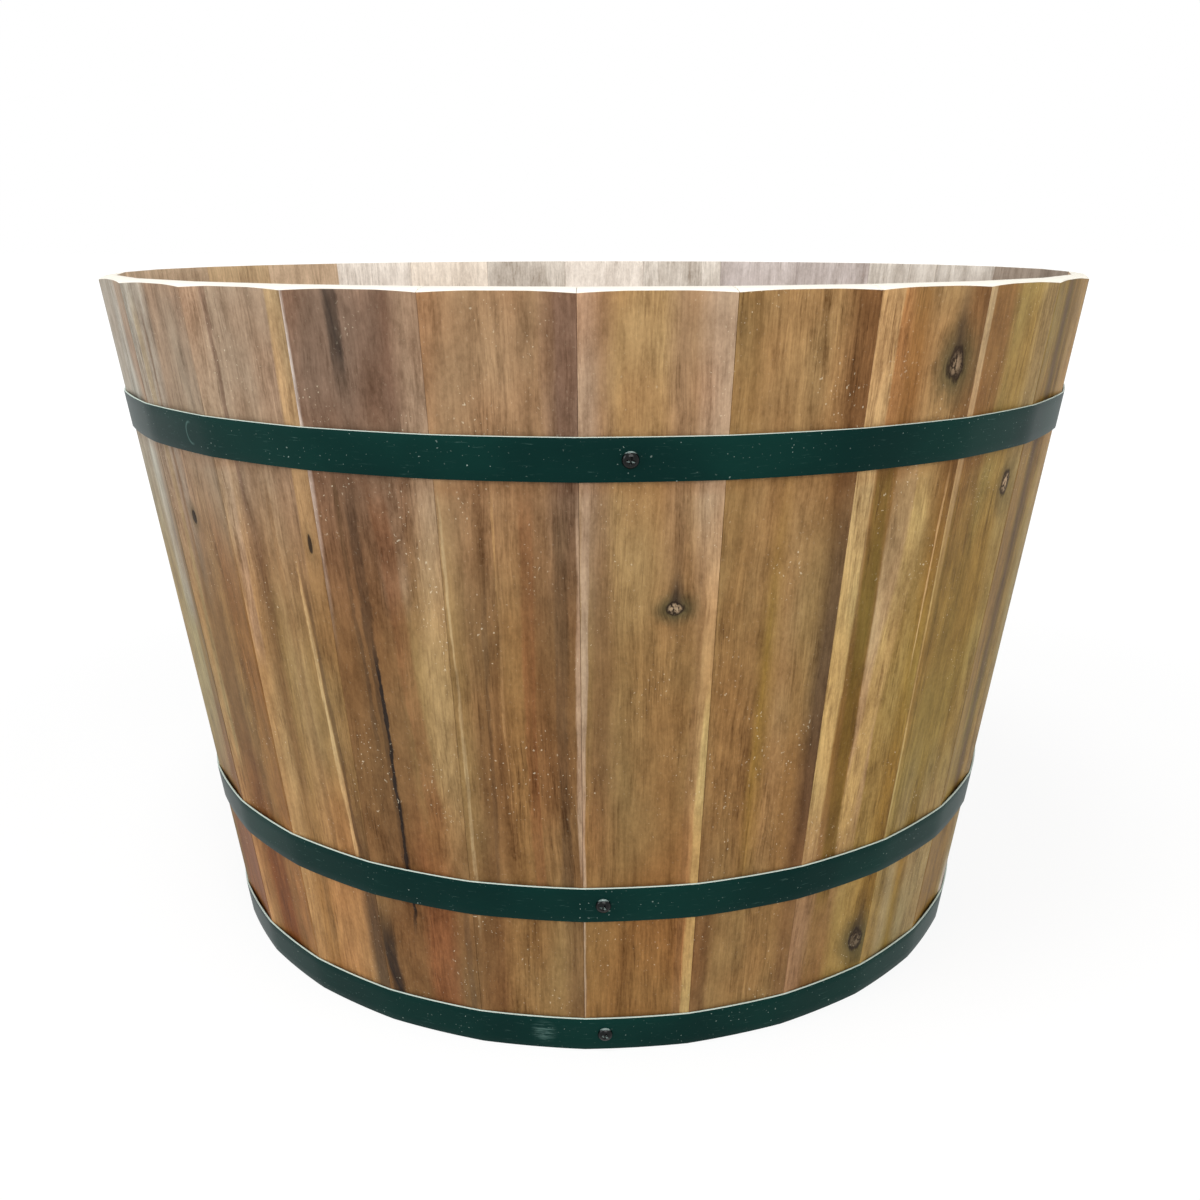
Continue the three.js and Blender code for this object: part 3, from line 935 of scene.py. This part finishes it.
    def light(self):
        """How light the grain is at a point; 0.5 leaves a tone as it is."""
        light = 0.5 + (self.bands - 0.5) * 0.95 + (self.mottle - 0.5) * 0.9
        light = light + (self.drift - 0.5) * 0.5 + (self.grit - 0.5) * 0.4
        light = light + (self.veins - 0.5) * (0.15 + self.open_grain * 0.5)
        return light + (self.fibre - 0.5) * (0.4 + self.open_grain * 0.6) - self.pores * 0.16

    def weathered(self, colour):
        """Warms or cools a colour from place to place, and darkens it just under the top hoop."""
        cast = self.mix(self.drift.rise(0.3, 0.7), (1.07, 0.97, 0.9, 1), (0.95, 1.02, 1.04, 1))
        stain_height = TOP_HOOP_HEIGHT - HOOP_WIDTH / 2 - STAIN_DROP
        stained = (self.up + self.wander * 0.01 - stain_height).bell(STAIN_REACH) * 0.5
        return self.mix(stained, self.times(colour, cast), self.times(colour, (0.8, 0.7, 0.62)))

    def flecked(self, colour):
        """Adds pale flecks, dust specks and painted varnish glints, thicker in some patches."""
        patches = self.grain(self.side, 45, 22, shift=5, detail=3).rise(0.5, 0.66)
        flecks = self.grain(self.side, 800, 650, shift=31, detail=1).rise(0.69, 0.75)
        # Dust specks and painted glints: pale cream flecks mixed into the colour where the varnish
        # would catch light.
        return self.mix(flecks * (0.05 + patches * 0.4), colour, tone("dust and painted glint"))

    def inside(self):
        """1 on the inner face and 0 on the outer one."""
        behind = FOOT_COVE + self.up * math.tan(STAVE_LEAN) - self.out
        return behind.rise(STAVE_THICKNESS - 1.2 * MM, STAVE_THICKNESS - 0.4 * MM)

    def rim(self):
        """1 on the upper end, both where it is cut square and where it is turned off."""
        square_end = self.up + (self.out - RIM_COVE) * math.tan(STAVE_LEAN)
        reach = (self.out * self.out + self.side * self.side).math("SQRT")
        turned_end = self.up + (reach - TURNED_RADIUS) * RIM_TURNING_SLOPE
        end = square_end.math("MAXIMUM", turned_end)
        return end.rise(RIM_EDGE_HEIGHT - 0.35 * MM, RIM_EDGE_HEIGHT - 0.12 * MM)

    def finished(self):
        light = self.light()
        colour = self.knotted(self.streaked(self.tones()))
        colour = self.shade(self.weathered(colour), light)
        inside = self.inside()
        dry = self.times(tone(self.figure.inside), (0.9, 0.93, 0.98))
        colour = self.mix(inside, colour, self.shade(dry, light * 0.8 + 0.1))
        rim = self.rim()
        rings = self.noise(self.out * 900, self.side * 60, self.seed, detail=3)
        colour = self.mix(rim, colour, self.scale(tone("end grain"), 0.86 + rings * 0.2))
        bare = inside.math("MAXIMUM", rim)
        self.surface(
            Base_Color=self.flecked(colour),
            Roughness=0.5 + bare * 0.3 + (self.fibre - 0.5) * 0.16,
            Coat_Weight=(1 - bare) * 0.02,
            Coat_Roughness=0.3,
            Specular_IOR_Level=0.05,
            Normal=self.bump(self.relief(), 0.3 * MM, 0.5),
        )
        return self.owner


SHOWN = {
    # The grey ash of staves 22 to 25 near the rim is partly a painted haze of light from the left.
    22: figure(
        [("ash with painted haze", 1)],
        [("ash with painted haze", 0.5), ("khaki", 1)],
        [("russet", 1)],
        "fawn",
    ),
    23: figure(
        [("ash with painted haze", 0.66), ("mauve", 1)],
        [("khaki", 0.66), ("bronze", 1)],
        [("bronze", 0.12), ("rust", 1)],
        "taupe",
        streaks=[streak("ash with painted haze", 0.62, 0.34, (0.08, 0.5), 0.5, 0.3)],
    ),
    24: figure(
        [("ash with painted haze", 0.35), ("mauve", 1)],
        [("buff", 0.16), ("brown", 0.5), ("tan", 0.66), ("amber", 1)],
        [("copper", 0.14), ("clay", 0.28), ("rust", 0.66), ("amber", 0.8), ("clay", 1)],
        "taupe",
        streaks=[
            streak("khaki", 0.14, 0.06, (0.0, 0.7), 0.5),
            streak("brown", 0.24, 0.03, (0.0, 0.75), 0.5),
        ],
        knots=[knot(0.38, 0.3, 2 * MM, 3.4 * MM, halo=0.5)],
    ),
    25: figure(
        [("rose", 0.2), ("mauve", 0.84), ("sand", 1)],
        [("buff", 0.2), ("brown", 0.34), ("tan", 0.42), ("honey", 0.62), ("tan", 1)],
        [("copper", 0.16), ("clay", 0.38), ("copper", 0.82), ("umber", 1)],
        "fawn",
        streaks=[
            streak("plum", 0.23, 0.03, (-0.2, 0.3), 0.7),
            streak("rose", 0.08, 0.08, (0.1, 0.5), 0.6),
            streak("brown", 0.3, 0.05, (0.3, 0.95), 0.4),
            streak("sapwood", (0.7, 0.86), 0.03, (0.3, 0.78), 0.8),
            streak("umber", (0.75, 0.9), 0.03, (0.3, 0.78), 0.6),
            streak("brown", (0.5, 0.56), 0.06, (0.2, 0.8), 0.4),
        ],
        knots=[knot(0.9, 0.3, 1.1 * MM, 4.5 * MM, halo=0.3)],
    ),
    26: figure(
        [("stone", 0.03), ("plum", 0.8), ("mauve", 1)],
        [("brown", 0.6), ("tan", 0.78), ("honey", 1)],
        [("brown", 0.5), ("russet", 0.8), ("brown", 1)],
        "fawn",
        streaks=[
            streak("umber", 0.27, 0.16, (0.18, 0.85), 0.2),
            streak("mauve", 0.6, 0.2, (0.12, 0.4), 0.4),
            streak("ink", (0.3, 0.39), 0.06, (0.2, 0.82), 0.4, 0.9),
            streak("ink", (0.36, 0.39), 0.026, (0.4, 0.86), 1.0, 0.7),
            streak("umber", (0.2, 0.26), 0.03, (0.18, 0.6), 0.7, 0.8),
            streak("ink", 0.36, 0.08, (-0.2, 0.13), 0.7, 0.7),
            streak("ink", (0.05, 0.2), 0.12, (0.8, 1.2), 0.8, 0.8),
            streak("russet", (0.5, 0.75), 0.12, (0.2, 0.7), 0.5),
            streak("umber", 0.93, 0.05, (0.75, 1.2), 0.5),
        ],
        heart=(0.004, 0.02, 0.05),
    ),
    27: figure(
        [("dust", 0.8), ("plum", 1)],
        [("tan", 0.12), ("brown", 0.4), ("tan", 0.64), ("brown", 1)],
        [("brown", 0.3), ("tan", 0.84), ("brown", 1)],
        "biscuit",
        streaks=[
            streak("sand", 0.05, 0.02, (0.2, 0.85), 0.5),
            streak("buff", 0.4, 0.02, (0.2, 0.75), 0.7),
            streak("umber", 0.86, 0.07, (0.2, 0.8), 0.6),
            streak("rose", 1.0, 0.05, (0.2, 0.75), 0.8, 0.2),
            streak("russet", 0.62, 0.08, (0.2, 0.8), 0.5),
            streak("umber", (0.3, 0.24), 0.03, (0.3, 0.8), 0.4),
        ],
    ),
    1: figure(
        [("rose", 0.12), ("dust", 0.2), ("buff", 0.6), ("dust", 0.82), ("rose", 1)],
        [("tan", 0.05), ("brown", 0.25), ("tan", 0.88), ("buff", 1)],
        [("amber", 0.84), ("copper", 1)],
        "cream",
        streaks=[
            streak("rose", (0.03, 0.0), 0.035, (0.1, 1.0), 0.9, 0.3),
            streak("wheat", (1.02, 0.9), 0.08, (0.44, 1.2), 0.8, 0.2),
            streak("brown", (0.9, 0.84), 0.05, (0.3, 1.1), 0.5),
            streak("umber", 0.7, 0.05, (0.22, 0.42), 0.4),
        ],
        knots=[knot(0.7, 0.36, 4.2 * MM, 3 * MM, halo=1.0, middle=1.0, plume=1.0)],
    ),
    2: figure(
        [("tan", 0.2), ("honey", 0.8), ("brown", 1)],
        [("tan", 0.4), ("olive", 0.5), ("honey", 0.68), ("tan", 0.86), ("umber", 1)],
        [("brown", 0.15), ("tan", 0.86), ("brown", 1)],
        "shell",
        streaks=[streak("umber", 0.97, 0.07, (0.36, 0.72), 0.8, 0.2)],
    ),
    3: figure(
        [("sapwood", 0.2), ("copper", 0.3), ("amber", 0.5), ("honey", 0.84), ("brown", 1)],
        [("wheat", 0.17), ("bronze", 0.4), ("sand", 0.62), ("straw", 0.85), ("olive", 1)],
        [("dust", 0.2), ("tan", 0.5), ("straw", 0.8), ("olive", 1)],
        "linen",
        streaks=[
            streak("wheat", (0.72, 0.42), 0.14, (0.22, 0.76), 0.95),
            streak("moss", (0.28, 0.34), 0.13, (0.16, 0.85), 0.8),
            streak("sapwood", 0.93, 0.014, (0.2, 0.5), 0.8, 0.2),
            streak("ink", 0.16, 0.02, (0.425, 0.455), 0.9, 0.2),
        ],
        knots=[
            knot(0.79, 0.09, 5.4 * MM, 7.8 * MM, halo=1.0, middle=0.5, plume=0.8),
            knot(0.88, 0.9, 5 * MM, 7 * MM, halo=0.9, middle=0.3, plume=0.8),
        ],
        heart=(0.008, 0.03, 0.02),
    ),
    4: figure(
        [("sand", 0.1), ("amber", 0.42), ("straw", 0.8), ("khaki", 1)],
        [("wheat", 0.03), ("olive", 0.85), ("straw", 1)],
        [("straw", 0.2), ("khaki", 0.4), ("olive", 0.56), ("khaki", 1)],
        "stone",
        streaks=[streak("moss", 0.12, 0.03, (0.2, 0.9), 0.5)],
        knots=[knot(0.84, 0.255, 3.8 * MM, 7 * MM, halo=0.6, middle=1.0)],
    ),
    5: figure(
        [("olive", 0.38), ("moss", 0.56), ("bronze", 0.8), ("honey", 1)],
        [("olive", 0.36), ("moss", 0.6), ("olive", 0.84), ("khaki", 1)],
        [("olive", 0.8), ("khaki", 1)],
        "linen",
        streaks=[
            streak("moss", (0.45, 0.54), 0.2, (-0.2, 0.85), 1.0, 0.2),
            streak("umber", (0.45, 0.54), 0.1, (-0.2, 0.8), 0.6, 0.3),
            streak("straw", 0.78, 0.15, (0.2, 0.9), 0.5),
            streak("stone", 0.96, 0.1, (0.86, 1.2), 0.7),
        ],
    ),
}

# The insides that show over the near rim, from left to right: staves 21 down to 7
INSIDE_TONES = ["fawn", "fawn", "biscuit", "fawn", "shell", "cream", "linen", "shell"]
INSIDE_TONES += ["linen", "stone", "stone", "linen", "linen", "taupe", "taupe"]
INSIDES = dict(zip(range(21, 6, -1), INSIDE_TONES))

COMMON_BODIES = (["tan", "honey", "clay"], ["brown", "russet", "tan"], ["olive", "straw", "tan"])
KNOT_CHANCE = 0.35


def drawn_streak(rng):
    start = rng.uniform(-0.2, 0.5)
    at = rng.uniform(0.1, 0.9)
    return streak(
        rng.choice(["umber", "ink", "wheat", "russet"]),
        (at, at + rng.uniform(-0.12, 0.12)),
        rng.uniform(0.012, 0.07),
        (start, start + rng.uniform(0.3, 0.9)),
        rng.uniform(0.3, 0.7),
    )


def drawn_knot(rng):
    size = rng.uniform(1.5, 4) * MM
    return knot(
        rng.uniform(0.2, 0.85),
        rng.choice([0.1, 0.35, 0.5, 0.65, 0.88]),
        size,
        size * rng.uniform(1.2, 1.9),
        rng.uniform(0.4, 0.8),
        rng.choice([0, 0.6, 1.0]),
        rng.choice([0, 0.6]),
    )


def drawn_figure(number, rng):
    """The figure of a stave whose outside the photograph doesn't show, drawn by lot."""
    body = rng.sample(rng.choice(COMMON_BODIES), 3)
    edge = rng.choice(["wheat", "sand", "umber", body[0], body[1]])
    width = rng.uniform(0.03, 0.2)
    rows = []
    for shift in (0.0, 0.07, -0.05):
        middle = rng.uniform(0.35, 0.6) + shift
        rows.append([(edge, width), (body[0], middle), (body[1], 0.85), (body[2], 1)])
    streaks = [drawn_streak(rng) for _ in range(rng.randint(1, 3))]
    knots = [drawn_knot(rng)] if rng.random() < KNOT_CHANCE else []
    near = rng.uniform(-0.02, 0.02)
    heart = (rng.choice([-0.3, 0.3, near]), rng.uniform(0.02, 0.06), rng.uniform(-0.02, 0.05))
    return figure(*rows, INSIDES.get(number, "fawn"), streaks, knots, heart)


def figures():
    """The figure of each stave in turn: as photographed where it shows, otherwise drawn by lot."""
    rng = random.Random(27)
    drawn = [drawn_figure(number, rng) for number in range(1, STAVE_COUNT + 1)]
    return [SHOWN.get(number, figure) for number, figure in enumerate(drawn, 1)]


# ---------------------------------------------------------------- the other finishes


def plain_wood(name, along_x):
    """Sawn, unvarnished hardwood of the base, its grain along X or Y and its cast set by board."""
    finish = Finish(bpy.data.materials.new(name))
    x, y, z = finish.place()
    along, side = (x, y) if along_x else (y, x)
    wander = finish.noise(along * 5, side * 12, z * 12) - 0.5
    grain = side + wander * 0.02
    board = (side / BOARD_WIDTH).math("FLOOR")
    cast = finish.noise(board * 5.3, 0.5, 0.5, detail=0)
    bands = finish.noise(grain * 160, along * 3 + board * 9, z * 160, detail=4, roughness=0.6)
    fibre = finish.noise(side * 1500, along * 60, z * 1500)
    colour = finish.mix(bands.rise(0.3, 0.7), tone("sawn dark"), tone("sawn light"))
    colour = finish.scale(colour, 0.5 + fibre * 0.35 + cast * 0.6)
    finish.surface(
        Base_Color=colour,
        Roughness=0.7 + (fibre - 0.5) * 0.15,
        Normal=finish.bump(fibre * 0.6 + bands * 0.4, 0.3 * MM, 0.6),
    )
    return finish.owner


def green_paint(hoop):
    """Dark green satin paint on the strip, with dust, one scuff and a painted top-edge highlight.
    """
    finish = Finish(bpy.data.materials.new(f"{hoop.name}_hoop_paint"))
    x, y, z = finish.place()
    round_tub = x.math("ARCTAN2", 0 - y) * hoop.radius
    cloud = finish.noise(x * 14, y * 14, z * 14, detail=3)
    peel = finish.noise(x * 700, y * 700, z * 700, detail=1)
    colour = finish.mix(cloud.rise(0.3, 0.7), tone("green"), tone("green cloud"))

    scrapes = finish.noise(round_tub * 90, z * 900, 0, detail=4, roughness=0.7)
    worn = scrapes.rise(0.6, 0.75) * 0.22
    spot = hoop.worn
    along = (round_tub - spot.angle * hoop.radius) / spot.wide
    up = (z - spot.height) / spot.tall
    far = (along * along + up * up).math("SQRT")
    if spot.curved:
        mark = (far - 0.9).bell(0.16) * (1 - along.rise(-0.3, 0.4))
    else:
        mark = (1 - far.rise(0.2, 1)) * scrapes.rise(0.42, 0.62)
    worn = worn.math("MAXIMUM", mark * spot.strength)
    colour = finish.mix(worn, colour, tone("worn green"))

    # Painted highlight: a pale line on the strip's upper edge, where light from above catches it.
    top = hoop.height + HOOP_WIDTH / 2 * math.cos(RIDGE_LEAN)
    edge = z.rise(top - 0.36 * MM, top - 0.22 * MM)
    colour = finish.mix(edge * 0.9, colour, tone("painted edge highlight"))
    patches = finish.noise(round_tub * 50, z * 50, 3, detail=3).rise(0.48, 0.64)
    dust = finish.noise(round_tub * 700, z * 700, 8, detail=1).rise(0.71, 0.76)
    colour = finish.mix(dust * (0.1 + patches * 0.5), colour, tone("green dust"))
    finish.surface(
        Base_Color=colour,
        Specular_IOR_Level=0.04,
        Roughness=0.36 + worn * 0.3 + (cloud - 0.5) * 0.1,
        Normal=finish.bump(peel - worn, 0.05 * MM, 0.35),
    )
    return finish.owner


def black_steel():
    """Black coated screws, with a pale painted highlight on what faces up."""
    finish = Finish(bpy.data.materials.new("black_steel"))
    x, y, z = finish.place()
    wear = finish.noise(x * 900, y * 900, z * 900, detail=3)
    colour = finish.mix(wear.rise(0.6, 0.75), tone("black"), tone("worn black"))
    # Painted highlight: faces that point up, towards the lamps, are made paler grey in the colour.
    facing = finish.node("ShaderNodeTexCoord", output="Normal")
    upward = finish.node("ShaderNodeSeparateXYZ", {}, {0: facing}, 2)
    colour = finish.mix(upward.rise(0.6, 0.95) * (0.2 + wear), colour, tone("painted top highlight"))
    finish.surface(
        Base_Color=colour,
        Specular_IOR_Level=0.2,
        Roughness=0.12 + wear * 0.1,
        Normal=finish.bump(wear, 0.04 * MM, 0.3),
    )
    return finish.owner


# ---------------------------------------------------------------- the planter


SEED_STEP = 3.7  # between the noises of two staves


def build_staves():
    for index, figure in enumerate(figures()):
        name = numbered("stave", index)
        angle = stave_angle(index)
        wood = StaveWood(f"{name}_wood", angle - math.pi / 2, figure, index * SEED_STEP)
        put(stave_mesh(index), name, "stave_wood", wood.finished())


def build_hoops(steel):
    screw = screw_mesh(HOOP_SCREW_LENGTH)
    rivet = rivet_mesh()
    rng = random.Random(9)
    for hoop in HOOPS:
        paint = green_paint(hoop)
        name = f"{hoop.name}_hoop"
        put(hoop_mesh(hoop), name, "hoop_paint", paint)
        for i in range(HOOP_SCREW_COUNT):
            angle = stave_angle(round(i * STAVE_COUNT / HOOP_SCREW_COUNT)) + hoop.screw_turn
            seat = hoop.seat(hoop.screw_turn, 1)
            piece = stand_out(screw.copy(), hoop, seat, angle, rng.uniform(0, math.pi))
            put(piece, numbered(f"{name}_screw", i), "screw_steel", steel)
        for i, turn in enumerate((-hoop.rivet_turn, hoop.rivet_turn)):
            angle = stave_angle(LAP_STAVE) + turn
            piece = stand_out(rivet.copy(), hoop, hoop.seat(turn, 2), angle, 0)
            put(piece, numbered(f"{name}_rivet", i), "hoop_paint", paint)
    screw.free()
    rivet.free()


def build_base(steel):
    board_wood = plain_wood("base_board_wood", True)
    batten_wood = plain_wood("base_batten_wood", False)
    for i, axis in enumerate(BOARD_AXES):
        put(board_mesh(axis), numbered("base_board", i), "base_wood", board_wood)
    for i, x in enumerate((-BATTEN_OFFSET, BATTEN_OFFSET)):
        put(batten_mesh(x), numbered("base_batten", i), "base_wood", batten_wood)
    screw = screw_mesh(BATTEN_SCREW_LENGTH)
    rng = random.Random(8)
    for i, (x, y) in enumerate(batten_screw_places()):
        piece = screw.copy()
        place = (
            Matrix.Translation((x, y, BATTEN_BOTTOM - SEAT_GAP))
            @ Matrix.Rotation(math.pi, 4, "X")
            @ Matrix.Rotation(rng.uniform(0, math.pi), 4, "Z")
        )
        bmesh.ops.transform(piece, matrix=place, verts=piece.verts)
        put(piece, numbered("batten_screw", i), "screw_steel", steel)
    screw.free()


# ---------------------------------------------------------------- camera, floor and light

CAMERA_PLACE = (-0.0038, -0.8165, 0.4090)
CAMERA_PITCH = -0.2752  # below the horizon
CAMERA_YAW = -0.0079
CAMERA_ROLL = -0.0012
CAMERA_LENS = 38.69

FLOOR_HALF_SIZE = 30
FLOOR_GLOW = 1.1
GLOW_NEAR_TUB = 0.8  # share of the glow that still lets the tub's shadow show
SHADOW_ENDS = (0.45, 1.5)  # distances from the axis between which that share grows to 1

ROOM_COLOUR = (0.97, 0.985, 1, 1)
ROOM_STRENGTH = 0.36
LAMP_AIM = (0, 0, 0.2)
LAMPS = {
    "overhead": ((-0.3, -0.6, 2.3), 0.8, 20, (1, 0.99, 0.96)),
    "window": ((-2.2, -1.2, 1.0), 1.4, 20, (0.92, 0.96, 1)),
    "front": ((0.3, -2.3, 1.3), 1.6, 30, (1, 0.98, 0.95)),
    "doorway": ((2.2, -0.8, 1.0), 1.4, 10, (1, 0.98, 0.95)),
}


def set_camera():
    data = bpy.data.cameras.new("camera")
    data.lens = CAMERA_LENS
    data.sensor_width = 36
    data.clip_start = 0.01
    camera = add_object("camera", data)
    camera.matrix_world = (
        Matrix.Translation(CAMERA_PLACE)
        @ Matrix.Rotation(CAMERA_YAW, 4, "Z")
        @ Matrix.Rotation(math.pi / 2 + CAMERA_PITCH, 4, "X")
        @ Matrix.Rotation(CAMERA_ROLL, 4, "Z")
    )
    bpy.context.scene.camera = camera


def set_floor():
    """A white floor that still takes the tub's shadow."""
    mesh = bmesh.new()
    bmesh.ops.create_grid(mesh, x_segments=1, y_segments=1, size=FLOOR_HALF_SIZE)
    floor = add_object("floor", mesh_data("floor", mesh))
    finish = Finish(bpy.data.materials.new("floor_white"))
    matt = finish.node("ShaderNodeBsdfDiffuse", {}, {"Color": tone("floor")})
    glow = finish.node("ShaderNodeEmission", {}, {"Color": WHITE, "Strength": FLOOR_GLOW})
    x, y, _ = finish.place()
    far = (x * x + y * y).math("SQRT").rise(*SHADOW_ENDS)
    share = finish.seen() * (GLOW_NEAR_TUB + far * (1 - GLOW_NEAR_TUB))
    finish.end(finish.node("ShaderNodeMixShader", {}, {0: share, 1: matt, 2: glow}))
    floor.data.materials.append(finish.owner)
    floor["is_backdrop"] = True


def add_lamp(name, place, size, power, colour):
    data = bpy.data.lights.new(name, "AREA")
    data.shape = "DISK"
    data.size = size
    data.energy = power
    data.color = colour
    lamp = add_object(name, data)
    lamp.location = place
    lamp.rotation_euler = (Vector(LAMP_AIM) - Vector(place)).to_track_quat("-Z", "Y").to_euler()
    return lamp


def set_light():
    """A dim room before a white backdrop, with large soft lamps above, in front and at both sides.
    The one at the right isn't mirrored, because the photograph's hoops show no gloss there."""
    world = bpy.data.worlds.new("studio")
    studio = Finish(world)
    room = studio.node("ShaderNodeBackground", {}, {0: ROOM_COLOUR, 1: ROOM_STRENGTH})
    backdrop = studio.node("ShaderNodeBackground", {}, {0: WHITE, 1: 1.0})
    either = studio.node("ShaderNodeMixShader", {}, {0: studio.seen(), 1: room, 2: backdrop})
    studio.end(either, "ShaderNodeOutputWorld")
    bpy.context.scene.world = world
    for name, settings in LAMPS.items():
        add_lamp(name, *settings).visible_glossy = name != "doorway"


black = black_steel()
build_staves()
build_hoops(black)
build_base(black)
set_camera()
set_floor()
set_light()
bpy.context.scene.view_settings.view_transform = "Standard"

bpy.context.view_layer.update()
boxes = {"cad": cad_box, "visual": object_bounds()}
